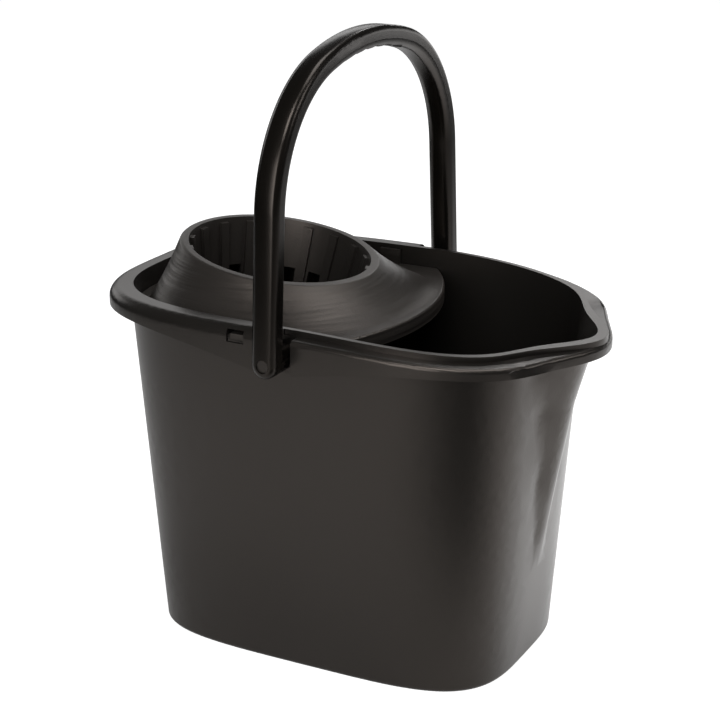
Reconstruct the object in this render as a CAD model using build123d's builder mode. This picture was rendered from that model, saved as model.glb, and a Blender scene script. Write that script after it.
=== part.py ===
from build123d import *
import os
from math import atan2, cos, degrees, hypot, radians, sin

# Oblong mop bucket with a pouring spout, a snap-in conical wringer and a bail handle.
# +X points to the spout, +Z up, the origin is under the middle of the bucket. Millimetres.

# Bucket body
rim_height = 270.0
outline_centre = 2.75
base_rear, base_front, base_half_width = 153.6, 131.4, 93.6
base_rear_power, base_front_power = 4.2, 3.8
wall_thickness = 2.4
floor_thickness = 3.0
base_edge_radius = 4.0

# Rim: a rolled flange behind the handle, a thin lip with a lower bead in front of it
rim_rear, rim_front, rim_half_width = 190.0, 168.0, 129.0
rim_rear_power, rim_front_power = 3.2, 3.0
wall_front_power = 3.1
flange_width, flange_front_width = 13.5, 15.5
flange_skin = 2.2
flange_roof = 7.0
roll_radius = 8.0
bead_drop = 4.0
bead_radius = 3.4
lip_extra = 1.2
front_dip = 12.3
facia_depth = 34.0
facia_rear_z, facia_pivot_z, facia_rear_length = 252.8, 238.5, 75.0
facia_front_steps = ((0.0, 240.9), (40.0, 247.4), (78.0, 251.0), (125.0, 249.8), (212.0, 245.5))

# Pouring spout: a creased ridge that leaves the front wall at its foot and flares to the rim.
# Each level holds its height, the ridge's reach and half width, and how softly it leaves the wall.
spout_levels = ((0.0, 0.0, 10.0, 1.3), (72.0, 0.0, 10.0, 1.3), (105.0, 3.4, 13.0, 1.3),
                (150.0, 7.6, 20.0, 1.4), (205.0, 13.4, 33.0, 1.6), (240.0, 20.5, 48.0, 1.8),
                (rim_height, 29.5, 66.0, 2.0))
rim_spout_reach, rim_spout_width, rim_spout_softness = 16.5, 68.0, 2.0
nose_offsets = (0.0, 6.0, 12.0, 19.0, 27.0, 36.0, 46.0, 57.0, 68.0)
rear_steps = 18

# Bail handle and its pivots
pivot_x, pivot_z = -3.5, 251.6
leg_spread = 280.0
leg_lean = 3.86
leg_length = 101.3
shoulder_radius, shoulder_turn = 100.7, 70.7
bail_width, bail_thickness = 19.4, 15.4
bail_outer_radius, bail_inner_radius = 4.5, 6.5
hub_radius = 9.6
stud_radius, stud_clearance = 4.5, 0.05
stud_recess = 1.0
slot_half_width, slot_floor = 11.2, 117.5
hub_gap = 1.5
scallop_count, scallop_pitch = 6, 18.0
scallop_radius, scallop_depth = 13.0, 2.2

# Wringer insert
deck_z, deck_thickness = 255.5, 2.5
deck_clearance = 1.0
apron_x, apron_drop = 44.0, 8.5
apron_edge, apron_side_angle = 2.0, 88.5
deck_steps = 12
notch_angle, notch_length, notch_depth = 152.0, 9.0, 4.0
mouth_x, mouth_z, mouth_radius = -73.4, 289.4, 74.6
mouth_pitch = 9.0
mouth_edge, lip_width = 3.0, 6.2
collar_x, collar_length, collar_half_width, collar_power = -62.7, 100.5, 102.0, 2.6
collar_waist = 0.42
collar_point_angle = 15
collar_skin = 3.0
basket_radius, basket_skin = 71.2, 2.6
basket_depth, basket_floor_radius = 118.0, 51.0
rib_count, rib_width, rib_height = 18, 7.0, 2.8
rib_top_gap = 3.0
window_width, window_top_gap, window_height = 10.5, 37.0, 66.0
drain_radius = 5.0
drain_rings = ((17.0, 6), (34.0, 10))

# Snap tabs of the wringer and their windows in the rim
tab_x, tab_width, tab_skin = -36.0, 17.0, 2.2
tab_wall_gap, tab_angle = 1.2, 107.0
tab_top_z = 267.0
hook_width, hook_tip = 10.5, 126.0
hook_z, hook_face, hook_height = 259.7, 4.0, 6.0
window_gap = 0.6
pocket_width, pocket_height, pocket_floor = 13.5, 9.0, 117.5
ledge_width, ledge_height = 4.5, 3.0
ledge_front_x = -23.0

# Far enough to cut right across the bucket
beyond = 220.0


def oblong_radius(angle, rear, front, half_width, rear_power, front_power):
    """Distance from the centre to an oblong outline with rounder or squarer ends, at a plan angle."""
    along = cos(radians(angle))
    across = sin(radians(angle))
    end, power = (front, front_power) if along > 0 else (rear, rear_power)
    return (abs(along / end) ** power + abs(across / half_width) ** power) ** (-1 / power)


def spouted(radius, angle, reach, width, softness):
    """Plan point at a radius and angle, pushed forward where it lies within the spout's nose."""
    x = radius * cos(radians(angle))
    y = radius * sin(radians(angle))
    nose = reach * cos(radians(90 * min(1, y / width))) ** softness if x > 0 else 0
    return (outline_centre + x + nose, y)


def plan_angles(front):
    """Angles of a half outline's points, close together round the spout's nose."""
    nose = [degrees(atan2(offset, front)) for offset in nose_offsets]
    rear = [nose[-1] + (180 - nose[-1]) * step / rear_steps for step in range(1, rear_steps + 1)]
    return nose + rear


def spout_form(z):
    """Reach, half width and softness of the spout's ridge at a height."""
    steps = list(zip(spout_levels, spout_levels[1:]))
    low, high = next((step for step in steps if z <= step[1][0]), steps[-1])
    share = (z - low[0]) / (high[0] - low[0])
    return [below + (above - below) * share for below, above in zip(low[1:], high[1:])]


def wall_radius(z, angle, grow):
    """Distance from the centre to the tapered wall at a height and plan angle, moved outwards by grow."""
    low = oblong_radius(angle, base_rear + grow, base_front + grow, base_half_width + grow,
                        base_rear_power, base_front_power)
    inset = flange_width - grow
    front_inset = flange_front_width - grow
    high = oblong_radius(angle, rim_rear - inset, rim_front - front_inset, rim_half_width - inset,
                         rim_rear_power, wall_front_power)
    return low + (high - low) * z / rim_height


def wall_point(z, angle, grow):
    """Point of the tapered wall behind the spout."""
    return spouted(wall_radius(z, angle, grow), angle, 0, 1, 1)


def wall_outline(z, grow=0.0):
    """Half outline of the wall, from the spout's nose to the rear."""
    reach, width, softness = spout_form(z)
    return [spouted(wall_radius(z, angle, grow), angle, reach, width + grow, softness)
            for angle in plan_angles(wall_radius(z, 0, grow))]


def rim_outline(grow=0.0):
    """Half outline of the rim's outer edge."""
    width = rim_spout_width + grow
    outline = []
    for angle in plan_angles(rim_front + grow):
        radius = oblong_radius(angle, rim_rear + grow, rim_front + grow, rim_half_width + grow,
                               rim_rear_power, rim_front_power)
        outline.append(spouted(radius, angle, rim_spout_reach, width, rim_spout_softness))
    return outline


def mirrored(half_outline):
    """Points of a half outline and its mirror image."""
    return half_outline + [(x, -y) for x, y in half_outline[-2:0:-1]]


def symmetric_face(half_outline):
    """Face inside a half outline and its mirror image.

    All outlines take the spacing of the base's points, so that a loft joins points of the same order.
    """
    base = mirrored(wall_outline(0))
    spacing = [0.0]
    for point, following in zip(base, base[1:] + base[:1]):
        spacing.append(spacing[-1] + hypot(following[0] - point[0], following[1] - point[1]))
    points = [Vector(*point) for point in mirrored(half_outline)]
    with BuildLine() as outline:
        add(Edge.make_spline(points, periodic=True, parameters=spacing))
    make_face(outline.edges())


def crest_region(drop, end_z):
    """Face between the rim's crest line, lowered by drop, and a level line at end_z."""
    with BuildLine() as border:
        level = Line((-beyond, rim_height - drop), (pivot_x, rim_height - drop))
        dip = Spline(level @ 1, (beyond, rim_height - drop - front_dip), tangents=((1, 0), (1, 0)))
        Polyline(dip @ 1, (beyond, end_z), (-beyond, end_z), level @ 0)
    make_face(border.edges())


def tilted(x, z, pitch):
    """Work plane square to the XZ plane, its front edge tipped down by pitch degrees."""
    tip = radians(pitch)
    return Plane(origin=(x, 0, z), x_dir=(cos(tip), 0, -sin(tip)), z_dir=(sin(tip), 0, cos(tip)))


def collar_face(weight, grow):
    """Face across the collar: a circle at the mouth, weight 0, an oblong at the deck, weight 1."""
    length = mouth_radius + (collar_length - mouth_radius) * weight + grow
    half_width = mouth_radius + (collar_half_width - mouth_radius) * weight + grow
    power = 2 + (collar_power - 2) * weight
    points = []
    for angle in range(0, 360, collar_point_angle):
        radius = oblong_radius(angle, length, length, half_width, power, power)
        points.append((radius * cos(radians(angle)), radius * sin(radians(angle))))
    with BuildLine() as outline:
        Spline(*points, periodic=True)
    make_face(outline.edges())


# Solid shape of the bucket's outside, up to the rim
with BuildPart() as outer_form:
    for level_z in [level[0] for level in spout_levels]:
        with BuildSketch(Plane.XY.offset(level_z)):
            symmetric_face(wall_outline(level_z))
    loft(ruled=True)
    fillet(outer_form.faces().sort_by(Axis.Z)[0].edges(), base_edge_radius)

# Solid shape of the bucket's inside, open at the top
with BuildPart() as inner_form:
    ridge_heights = [level[0] for level in spout_levels[1:-1]]
    for level_z in (floor_thickness, *ridge_heights, rim_height + floor_thickness):
        with BuildSketch(Plane.XY.offset(level_z)):
            symmetric_face(wall_outline(level_z, -wall_thickness))
    loft(ruled=True)
    fillet(inner_form.faces().sort_by(Axis.Z)[0].edges(), base_edge_radius - wall_thickness)

# Mid-wall surface under the rim, the inner border of the flange
with BuildPart() as mid_wall_form:
    for level_z in (*ridge_heights[-2:], rim_height + floor_thickness):
        with BuildSketch(Plane.XY.offset(level_z)):
            symmetric_face(wall_outline(level_z, -wall_thickness / 2))
    loft(ruled=True)

# Lip of the front half, a little thicker than the wall
with BuildPart() as lip_form:
    with BuildSketch(Plane.XY.offset(rim_height - front_dip - flange_roof)):
        symmetric_face(wall_outline(rim_height, lip_extra))
    extrude(amount=front_dip + flange_roof)

# Hollow under the flange, walled off from the handle slots
with BuildPart() as channel_form:
    with BuildSketch(Plane.XY.offset(rim_height - 2 * facia_depth)):
        symmetric_face(rim_outline(-flange_skin))
    extrude(amount=2 * facia_depth)
    with BuildSketch(Plane.XZ):
        crest_region(flange_roof, rim_height + facia_depth)
    extrude(amount=beyond, both=True, mode=Mode.SUBTRACT)
    with Locations((pivot_x, 0, rim_height)):
        Box(2 * (slot_half_width + flange_skin), 2 * beyond, 2 * beyond, mode=Mode.SUBTRACT)

# Flange: rolled over behind the handle, a bead below the lip in front of it
with BuildPart() as flange:
    with BuildSketch(Plane.XY.offset(rim_height - facia_depth)):
        symmetric_face(rim_outline())
    extrude(amount=facia_depth)
    with BuildSketch(Plane.XZ):
        crest_region(bead_drop, rim_height + facia_depth)
        with Locations((pivot_x - beyond, rim_height)):
            Rectangle(2 * beyond, 2 * beyond, mode=Mode.SUBTRACT)
    extrude(amount=beyond, both=True, mode=Mode.SUBTRACT)
    bead_top = flange.faces().filter_by(lambda face: face.normal_at().Z > 0.9 and face.center().X > pivot_x)
    bead_edge = bead_top.edges().filter_by(GeomType.LINE, reverse=True)
    roll_edge = flange.edges().group_by(Axis.Z)[-1].filter_by(GeomType.LINE, reverse=True)
    fillet(bead_edge, bead_radius)
    fillet(roll_edge, roll_radius)
    add(lip_form.part)
    add(channel_form.part, mode=Mode.SUBTRACT)
    with BuildSketch(Plane.XZ):
        with BuildLine():
            slot_rear = pivot_x - slot_half_width
            slot_front = pivot_x + slot_half_width
            rear_edge = Spline((-beyond, facia_rear_z), (slot_rear - facia_rear_length, facia_rear_z),
                               (slot_rear, facia_pivot_z))
            pivot_edge = Line(rear_edge @ 1, (slot_front, facia_pivot_z))
            front_edge = Spline(*[(slot_front + along, height) for along, height in facia_front_steps])
            Line(pivot_edge @ 1, front_edge @ 0)
            front_x = (front_edge @ 1).X
            Polyline(front_edge @ 1, (front_x, 0), (-beyond, 0), rear_edge @ 0)
        make_face()
    extrude(amount=beyond, both=True, mode=Mode.SUBTRACT)
    add(mid_wall_form.part, mode=Mode.SUBTRACT)
    slot_depth = rim_half_width + 1 - slot_floor
    for side in (-1, 1):
        with Locations((pivot_x, side * (slot_floor + slot_depth / 2), rim_height)):
            Box(2 * slot_half_width, slot_depth, 2 * facia_depth, mode=Mode.SUBTRACT)

# Bucket
with BuildPart() as bucket:
    add(outer_form.part)
    add(inner_form.part, mode=Mode.SUBTRACT)
    add(flange.part)
    with BuildSketch(Plane.XZ):
        crest_region(0, rim_height + facia_depth)
    extrude(amount=beyond, both=True, mode=Mode.SUBTRACT)
    for side in (-1, 1):
        hook_middle = hook_z + hook_height / 2
        hook_window = hook_width + 2 * window_gap
        with Locations((tab_x, side * (rim_half_width - flange_width), hook_middle)):
            Box(hook_window, 2 * flange_width, hook_height + 2 * window_gap, mode=Mode.SUBTRACT)
        with Locations((tab_x, side * (pocket_floor + flange_width), hook_middle)):
            Box(pocket_width, 2 * flange_width, pocket_height, mode=Mode.SUBTRACT)
        stud_length = leg_spread / 2 + bail_thickness / 2 - stud_recess - slot_floor + 1
        with Locations(Location((pivot_x, side * (slot_floor - 1), pivot_z), (-90 * side, 0, 0))):
            Cylinder(stud_radius, stud_length, align=(Align.CENTER, Align.CENTER, Align.MIN))
    ledge_z = deck_z - deck_thickness
    with BuildSketch(Plane.XY.offset(ledge_z - ledge_height)) as ledge:
        symmetric_face(wall_outline(ledge_z, -wall_thickness / 2))
        with BuildSketch(mode=Mode.SUBTRACT):
            symmetric_face(wall_outline(ledge_z, -wall_thickness - ledge_width))
        with Locations((ledge_front_x + beyond, 0)):
            Rectangle(2 * beyond, 2 * beyond, mode=Mode.SUBTRACT)
    extrude(amount=ledge_height)

# One end of the bail: rounded off below the pivot, with a hub reaching into the slot
bail_plane = Plane(origin=(pivot_x, -leg_spread / 2, pivot_z), x_dir=(1, 0, 0),
                   z_dir=(0, sin(radians(leg_lean)), cos(radians(leg_lean))))
hub_length = leg_spread / 2 - slot_floor - hub_gap
with BuildPart() as bail_end:
    with BuildSketch(bail_plane) as half_section:
        Rectangle(bail_width, bail_thickness)
        fillet(half_section.vertices().sort_by(Axis.Y)[:2], bail_outer_radius)
        fillet(half_section.vertices().sort_by(Axis.Y)[-2:], bail_inner_radius)
        with Locations((-bail_width / 2, 0)):
            Rectangle(bail_width, 2 * bail_thickness, mode=Mode.SUBTRACT)
    revolve(axis=Axis(bail_plane.origin, bail_plane.y_dir), revolution_arc=180)
    with Locations(Location((pivot_x, -leg_spread / 2, pivot_z), (-90, 0, 0))):
        Cylinder(hub_radius, hub_length, align=(Align.CENTER, Align.CENTER, Align.MIN))

# Bail handle, upright
with BuildPart() as bail_handle:
    with BuildLine(Plane.YZ.offset(pivot_x)) as bail_line:
        leg_heading = 90 - leg_lean
        near_leg = PolarLine((-leg_spread / 2, pivot_z), leg_length, leg_heading)
        near_shoulder = JernArc(near_leg @ 1, near_leg % 1, shoulder_radius, -shoulder_turn)
        crown_rise = leg_heading - shoulder_turn
        crown_radius = -(near_shoulder @ 1).Y / sin(radians(crown_rise))
        crown_z = (near_shoulder @ 1).Z - crown_radius * cos(radians(crown_rise))
        crown = JernArc(near_shoulder @ 1, near_shoulder % 1, crown_radius, -2 * crown_rise)
        far_shoulder = JernArc(crown @ 1, crown % 1, shoulder_radius, -shoulder_turn)
        Line(far_shoulder @ 1, (leg_spread / 2, pivot_z))
    with BuildSketch(bail_plane) as bail_section:
        Rectangle(bail_width, bail_thickness)
        fillet(bail_section.vertices().sort_by(Axis.Y)[:2], bail_outer_radius)
        fillet(bail_section.vertices().sort_by(Axis.Y)[-2:], bail_inner_radius)
    sweep()
    add(bail_end.part)
    mirror(bail_end.part, about=Plane.XZ)
    with Locations(Location((pivot_x, 0, pivot_z), (90, 0, 0))):
        Cylinder(stud_radius + stud_clearance, leg_spread + 2 * bail_thickness, mode=Mode.SUBTRACT)
    scallop_step = degrees(scallop_pitch / crown_radius)
    scallop_centre = crown_radius - bail_thickness / 2 - scallop_radius + scallop_depth
    with BuildSketch(Plane((pivot_x, 0, crown_z), x_dir=(0, 1, 0), z_dir=(1, 0, 0))):
        with PolarLocations(scallop_centre, scallop_count, 90 - scallop_step * (scallop_count - 1) / 2,
                            scallop_step * (scallop_count - 1), endpoint=True):
            Circle(scallop_radius)
    extrude(amount=bail_width, both=True, mode=Mode.SUBTRACT)

# Cone of the wringer's basket, square to the mouth, with its drain windows and holes, not yet hollow
mouth_plane = tilted(mouth_x, mouth_z, mouth_pitch)


def basket_cone(inset, deepest, highest):
    """Cone inside the basket's outer surface by inset, between two distances below the mouth."""
    slope = (basket_floor_radius - basket_radius) / basket_depth
    lower_radius = basket_radius + slope * deepest - inset
    upper_radius = basket_radius + slope * highest - inset
    with Locations(mouth_plane.offset(-deepest)):
        Cone(lower_radius, upper_radius, deepest - highest, align=(Align.CENTER, Align.CENTER, Align.MIN))


with BuildPart() as basket_form:
    basket_cone(0, basket_depth, 0)
    with BuildSketch(mouth_plane.offset(-window_top_gap)):
        with PolarLocations(basket_radius, rib_count, 180 / rib_count):
            Rectangle(basket_radius, window_width)
    extrude(amount=-window_height, mode=Mode.SUBTRACT)
    with BuildSketch(mouth_plane.offset(-basket_depth)):
        Circle(drain_radius)
        for ring_radius, ring_count in drain_rings:
            with PolarLocations(ring_radius, ring_count):
                Circle(drain_radius)
    extrude(amount=2 * basket_skin, mode=Mode.SUBTRACT)

# Inside of the basket: the space between the ribs and the core they leave free
with BuildPart() as basket_void:
    basket_cone(basket_skin, basket_depth - basket_skin, -1)
    with BuildSketch(mouth_plane.offset(-rib_top_gap)):
        with PolarLocations(basket_radius / 2, rib_count):
            Rectangle(2 * basket_radius, rib_width)
    extrude(amount=-2 * basket_depth, mode=Mode.SUBTRACT)
    basket_cone(basket_skin + rib_height, basket_depth - basket_skin, -1)

# Solid and hollow shapes of the flared collar between the deck and the mouth
with BuildPart() as collar_form:
    for share, weight in ((0, 1), (0.5, collar_waist), (1, 0)):
        with BuildSketch(tilted(mouth_x + (collar_x - mouth_x) * weight, deck_z + (mouth_z - deck_z) * share,
                                mouth_pitch * share)):
            collar_face(weight, 0)
    loft()
    fillet(collar_form.faces().sort_by(Axis.Z)[-1].edges(), mouth_edge)

with BuildPart() as collar_void:
    for share, weight in ((0, 1), (0.5, collar_waist), (1, 0)):
        with BuildSketch(tilted(mouth_x + (collar_x - mouth_x) * weight, deck_z + (mouth_z - deck_z) * share,
                                mouth_pitch * share).offset(-collar_skin)):
            collar_face(weight, -collar_skin * weight - lip_width * (1 - weight))
    loft()

# Wringer: the deck with its apron, then the collar and the basket
with BuildPart() as wringer:
    deck_level = deck_z - deck_thickness
    deck_inset = -wall_thickness - deck_clearance
    with BuildSketch(Plane.XY.offset(deck_level - apron_drop)):
        with BuildLine():
            rear_angles = [apron_side_angle] + [90 + 90 * step / deck_steps for step in range(deck_steps + 1)]
            far_side = [wall_point(deck_level, angle, deck_inset) for angle in rear_angles]
            near_side = [(x, -y) for x, y in far_side[-2::-1]]
            Spline(*far_side, *near_side)
            apron_arc = ThreePointArc(near_side[-1], (apron_x, 0), far_side[0])
        make_face()
    extrude(amount=apron_drop + deck_thickness)
    with BuildSketch(Plane.XY.offset(deck_level - apron_drop)):
        with Locations((apron_arc.arc_center.X, 0)):
            Circle(apron_arc.radius - deck_thickness)
    extrude(amount=apron_drop, mode=Mode.SUBTRACT)
    fillet(wringer.edges().filter_by(GeomType.CIRCLE).sort_by(Axis.Z)[-1], apron_edge)
    add(collar_form.part)
    add(collar_void.part, mode=Mode.SUBTRACT)
    add(basket_form.part)
    add(basket_void.part, mode=Mode.SUBTRACT)
    for side in (-1, 1):
        notch_x, notch_y = wall_point(deck_level, notch_angle, deck_inset)
        with Locations(Location((notch_x, side * notch_y, deck_z), (0, 0, side * (notch_angle - 45)))):
            Box(notch_length, 2 * notch_depth, 2 * deck_thickness, mode=Mode.SUBTRACT)

# Snap tabs: a tongue standing on the deck, with a hook through the rim's window
tab_wall = wall_point(deck_z, tab_angle, -wall_thickness - tab_wall_gap)[1]
with BuildPart() as snap_tab_far:
    with Locations((tab_x, tab_wall - tab_skin / 2, (deck_z + tab_top_z) / 2)):
        Box(tab_width, tab_skin, tab_top_z - deck_z)
    with BuildSketch(Plane.YZ.offset(tab_x - hook_width / 2)):
        with BuildLine():
            Polyline((tab_wall, hook_z), (hook_tip, hook_z), (hook_tip, hook_z + hook_face),
                     (tab_wall, hook_z + hook_height), close=True)
        make_face()
    extrude(amount=hook_width)

with BuildPart() as snap_tab_near:
    mirror(snap_tab_far.part, about=Plane.XZ)

pieces = {"bucket": bucket, "bail_handle": bail_handle, "wringer": wringer,
          "snap_tab_near": snap_tab_near, "snap_tab_far": snap_tab_far}
os.makedirs("parts", exist_ok=True)
for name, piece in pieces.items():
    piece.part.label = name
    export_step(piece.part, f"parts/{name}.step")
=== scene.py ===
import math

import bpy
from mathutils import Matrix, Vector

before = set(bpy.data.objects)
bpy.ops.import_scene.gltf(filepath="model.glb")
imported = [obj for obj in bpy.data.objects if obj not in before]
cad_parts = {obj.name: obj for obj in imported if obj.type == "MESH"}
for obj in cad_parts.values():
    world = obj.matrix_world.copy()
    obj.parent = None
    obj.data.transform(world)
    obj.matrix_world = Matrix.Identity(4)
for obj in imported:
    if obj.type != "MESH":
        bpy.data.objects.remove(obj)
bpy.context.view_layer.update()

# Camera of the photograph: where it looks, from which side, how far and how wide
LOOK_AT = Vector((0.00275, 0.0, 0.2))
AZIMUTH, ELEVATION = math.radians(27.247), math.radians(19.404)
DISTANCE = 1.37343
FOCAL_LENGTH, SENSOR = 92.076, 36.0
SHIFT_X, SHIFT_Y = -0.01504, 0.02265

# Plastic: scale and detail of its cloudy tone and of its grain, how far the clouds dull the gloss,
# and the warm tint of its highlights
CLOUD_SCALE, CLOUD_DETAIL = 9.0, 3.0
GRAIN_SCALE, GRAIN_DETAIL = 800.0, 2.0
UNEVEN_GLOSS = 0.06
WARM_TINT = (1.0, 0.87, 0.78, 1)
# Moulding lines of the wringer: long sideways and thin upwards, from the mouth's edge outwards
LINE_STRETCH, LINE_DETAIL, LINE_DEPTH = (7.0, 7.0, 170.0), 2.0, 0.0012
MOUTH_CENTRE, MOUTH_EDGE = (-0.0734, 0.0, 0.0), (0.073, 0.080)
# Crown of the handle's outer face, across its pivots
PIVOT_X, CROWN_RADIUS = -0.0035, 0.025
# Corners closer than the gap are welded for shading, and edges above the crease angle stay crisp
WELD_GAP, CREASE = 0.00002, math.radians(32)

# The floor in reflections has painted light and shade: a painted pool of light round the bucket, a
# painted glow brightest at one side, and a painted shade on the camera's side; each has its centre
# and the distances at which it is nothing and full
POOL, POOL_EDGE = (0.1, 0.2, 0.0), (1.7, 0.95)
BRIGHT_SPOT, BRIGHT_EDGE = (0.38, 0.40, 0.0), (0.65, 0.2)
SHADE, SHADE_EDGE = (0.42, -0.42, 0.0), (0.46, 0.10)
POOL_TONE, BRIGHT_GLOW, SHADE_TONE = 0.84, 1.0, 0.02
# The floor in other light, and to the camera, where its glow is white and its tone takes the shadow
FLOOR_SIZE, FLOOR_TONE = 14, 0.8
SHADOW_TONE, WHITE_GLOW = 0.3, 0.97
WORLD_LIGHT = 0.06
# Lamps, all aimed at the bucket: name, place, width and height, power
LAMPS = (
    ("overhead softbox", (0.45, 0.5, 1.9), (1.1, 0.9), 14),
    ("camera side softbox", (0.45, -0.8, 1.7), (0.9, 0.6), 16),
    ("front softbox", (0.18, -1.62, 0.72), (0.85, 1.2), 18),
    ("left panel", (-1.8, 0.6, 0.75), (0.9, 0.6), 2.6),
    ("rear left panel", (-1.3, 1.52, 1.0), (1.3, 0.65), 3.3),
    ("rear panel", (0.3, 2.2, 0.3), (2.4, 0.5), 7),
    ("lip panel", (-0.55, 2.2, 1.05), (0.45, 0.35), 1.25),
    ("bead panel", (-0.45, 2.2, 1.75), (0.4, 0.35), 3.0),
    ("spout panel", (1.63, 0.56, 1.15), (0.5, 0.5), 4.0),
)


class Socket:
    """A shader value that Python's operators turn into Math nodes."""

    def __init__(self, finish, output):
        self.finish = finish
        self.output = output

    def _math(self, operation, first, second):
        return self.finish.node("ShaderNodeMath", {"operation": operation}, {0: first, 1: second})

    def __add__(self, other):
        return self._math("ADD", self, other)

    def __radd__(self, other):
        return self._math("ADD", other, self)

    def __sub__(self, other):
        return self._math("SUBTRACT", self, other)

    def __rsub__(self, other):
        return self._math("SUBTRACT", other, self)

    def __mul__(self, other):
        return self._math("MULTIPLY", self, other)

    def __rmul__(self, other):
        return self._math("MULTIPLY", other, self)


class Finish:
    """The nodes of a material or of the world, and the one method that adds to them."""

    def __init__(self, tree, end):
        self.tree = tree
        self.tree.nodes.clear()
        self.end = self.tree.nodes.new(end)

    def node(self, kind, settings=None, inputs=None, output=0):
        made = self.tree.nodes.new(kind)
        for key, value in (settings or {}).items():
            setattr(made, key, value)
        for key, value in (inputs or {}).items():
            if isinstance(value, Socket):
                self.tree.links.new(value.output, made.inputs[key])
            else:
                made.inputs[key].default_value = value
        return Socket(self, made.outputs[output])

    def noise(self, place, scale, detail):
        return self.node("ShaderNodeTexNoise", {},
                         {"Vector": place, "Scale": scale, "Detail": detail}, "Fac")

    def stretched(self, place, factors):
        return self.node("ShaderNodeVectorMath", {"operation": "MULTIPLY"}, {0: place, 1: factors})

    def near(self, place, centre, edge):
        """Smooth step from 0 at the edge's first distance from a centre to 1 at its second."""
        away = self.node("ShaderNodeVectorMath", {"operation": "DISTANCE"},
                         {0: place, 1: centre}, "Value")
        return self.node("ShaderNodeMapRange", {"interpolation_type": "SMOOTHSTEP"},
                         {"Value": away, "From Min": edge[0], "From Max": edge[1]})

    def surface(self, shader):
        self.tree.links.new(shader.output, self.end.inputs["Surface"])


def material_finish(name):
    material = bpy.data.materials.new(name)
    material.use_nodes = True
    return material, Finish(material.node_tree, "ShaderNodeOutputMaterial")


def moulded_plastic(name, colour, lighter, roughness, gloss, grain, relief=None):
    """Moulded plastic: faint cloudy tone, uneven gloss, fine grain and sometimes a relief."""
    material, finish = material_finish(name)
    place = finish.node("ShaderNodeTexCoord", output="Object")
    cloud = finish.noise(place, CLOUD_SCALE, CLOUD_DETAIL)
    # A colour Mix node has its share at socket 0, its colours at 6 and 7, and the result at 2
    tone = finish.node("ShaderNodeMix", {"data_type": "RGBA"}, {0: cloud, 6: colour, 7: lighter}, 2)
    height = grain * finish.noise(place, GRAIN_SCALE, GRAIN_DETAIL)
    if relief:
        height = height + relief(finish, place)
    bump = finish.node("ShaderNodeBump", {},
                       {"Strength": 1.0, "Distance": 1.0, "Height": height}, "Normal")
    finish.surface(finish.node("ShaderNodeBsdfPrincipled", {}, {
        "Base Color": tone, "Roughness": roughness + UNEVEN_GLOSS * cloud, "Normal": bump,
        "Specular IOR Level": gloss, "Specular Tint": WARM_TINT}))
    return material


def flow_lines(finish, place):
    """Faint moulding lines that run round the wringer's collar, outside its mouth."""
    lines = finish.noise(finish.stretched(place, LINE_STRETCH), 1.0, LINE_DETAIL)
    level = finish.stretched(place, (1.0, 1.0, 0.0))
    return LINE_DEPTH * lines * finish.near(level, MOUTH_CENTRE, MOUTH_EDGE)


def crown(finish, place):
    """Slight crown across the handle's outer face."""
    across = finish.node("ShaderNodeSeparateXYZ", {}, {0: place}, "X") - PIVOT_X
    return across * across * (-0.5 / CROWN_RADIUS)


def smooth_solid(node, material):
    """Gives a CAD node its material, round shading and crisp edges."""
    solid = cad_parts[node]
    solid.data.materials.clear()
    solid.data.materials.append(material)
    for polygon in solid.data.polygons:
        polygon.use_smooth = True
    weld = solid.modifiers.new("weld", "WELD")
    weld.merge_threshold = WELD_GAP
    crisp = solid.modifiers.new("crisp edges", "EDGE_SPLIT")
    crisp.split_angle = CREASE
    even = solid.modifiers.new("even shading", "WEIGHTED_NORMAL")
    even.keep_sharp = True


def pale_floor():
    """Pale floor, white to the camera, with a painted pool of light, painted glow and painted shade
    in reflections.
    """
    material, finish = material_finish("pale floor")
    camera_ray, glossy_ray, clear_ray = (
        finish.node("ShaderNodeLightPath", output=f"Is {kind} Ray")
        for kind in ("Camera", "Glossy", "Transmission"))
    place = finish.node("ShaderNodeNewGeometry", output="Position")

    def diffuse(level):
        return finish.node("ShaderNodeBsdfDiffuse", {}, {"Color": (level, level, level, 1)})

    def mix(share, first, second):
        return finish.node("ShaderNodeMixShader", {}, {0: share, 1: first, 2: second})

    def glowing(shader, strength):
        glow = finish.node("ShaderNodeEmission", {}, {"Strength": strength})
        return finish.node("ShaderNodeAddShader", {}, {0: shader, 1: glow})

    # Painted light and shade for reflections: a pool of light, a glow at one side and a shade on
    # the camera's side
    pool = diffuse(POOL_TONE)
    bright = finish.near(place, BRIGHT_SPOT, BRIGHT_EDGE)
    lit_pool = mix(bright, pool, glowing(pool, BRIGHT_GLOW))
    shaded = finish.near(place, SHADE, SHADE_EDGE)
    lit_share = finish.near(place, POOL, POOL_EDGE) * (1.0 - shaded)
    mirrored = mix(lit_share, diffuse(SHADE_TONE), lit_pool)
    seen = mix(glossy_ray + clear_ray, diffuse(FLOOR_TONE), mirrored)
    finish.surface(mix(camera_ray, seen, glowing(diffuse(SHADOW_TONE), WHITE_GLOW)))
    return material


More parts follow.
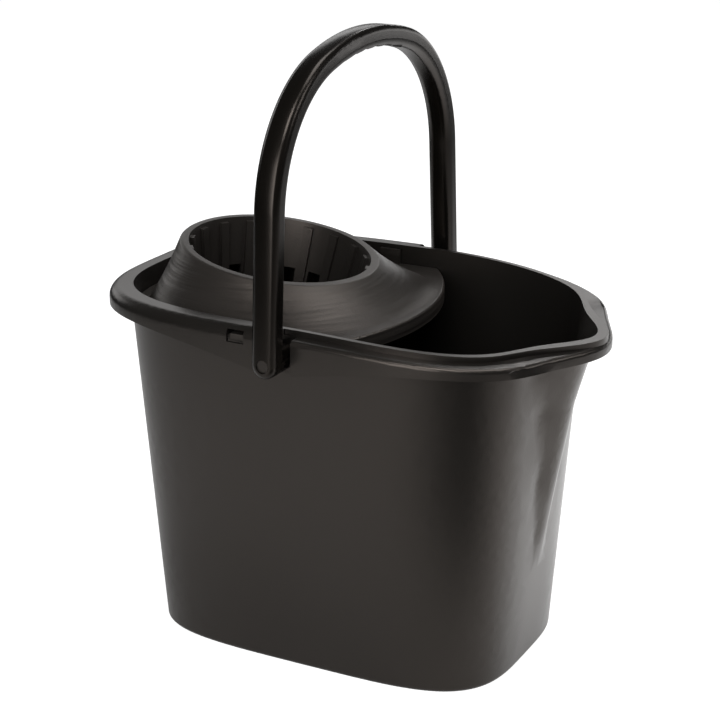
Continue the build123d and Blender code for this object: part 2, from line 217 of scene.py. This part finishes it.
def softbox(name, place, size, power):
    lamp = bpy.data.lights.new(name, "AREA")
    lamp.shape = "RECTANGLE"
    lamp.size, lamp.size_y = size
    lamp.energy = power
    box = bpy.data.objects.new(name, lamp)
    scene.collection.objects.link(box)
    box.location = place
    box.rotation_euler = (LOOK_AT - Vector(place)).to_track_quat("-Z", "Y").to_euler()
    box.visible_camera = False


# The bucket, its handle and the wringer with its tabs
bucket_plastic = moulded_plastic(
    "bucket satin plastic", colour=(0.006, 0.0055, 0.005, 1), lighter=(0.0085, 0.0078, 0.007, 1),
    roughness=0.27, gloss=0.43, grain=0.00004)
wringer_plastic = moulded_plastic(
    "wringer grained plastic", colour=(0.0122, 0.011, 0.01, 1), lighter=(0.0151, 0.0137, 0.0124, 1),
    roughness=0.38, gloss=0.5, grain=0.0001, relief=flow_lines)
handle_plastic = moulded_plastic(
    "handle smooth plastic", colour=(0.002, 0.0017, 0.0014, 1), lighter=(0.003, 0.0026, 0.0021, 1),
    roughness=0.22, gloss=0.31, grain=0.00002, relief=crown)
smooth_solid("bucket", bucket_plastic)
smooth_solid("bail_handle", handle_plastic)
for wringer_node in ("wringer", "snap_tab_near", "snap_tab_far"):
    smooth_solid(wringer_node, wringer_plastic)

# Floor, light and camera
bpy.ops.mesh.primitive_plane_add(size=FLOOR_SIZE)
floor = bpy.context.object
floor.name = "floor"
floor.data.materials.append(pale_floor())

scene = bpy.context.scene
scene.view_settings.view_transform = "Standard"
world = bpy.data.worlds.new("studio")
scene.world = world
world.use_nodes = True
sky = Finish(world.node_tree, "ShaderNodeOutputWorld")
sky.surface(sky.node("ShaderNodeBackground", {},
                     {"Color": (1, 1, 1, 1), "Strength": WORLD_LIGHT}))
for lamp in LAMPS:
    softbox(*lamp)

level_share = math.cos(ELEVATION)
back = Vector((math.sin(AZIMUTH) * level_share, -math.cos(AZIMUTH) * level_share,
               math.sin(ELEVATION)))
lens = bpy.data.cameras.new("photo camera")
lens.lens, lens.sensor_width = FOCAL_LENGTH, SENSOR
lens.shift_x, lens.shift_y = SHIFT_X, SHIFT_Y
camera = bpy.data.objects.new("photo camera", lens)
scene.collection.objects.link(camera)
camera.location = LOOK_AT + back * DISTANCE
camera.rotation_euler = back.to_track_quat("Z", "Y").to_euler()
scene.camera = camera
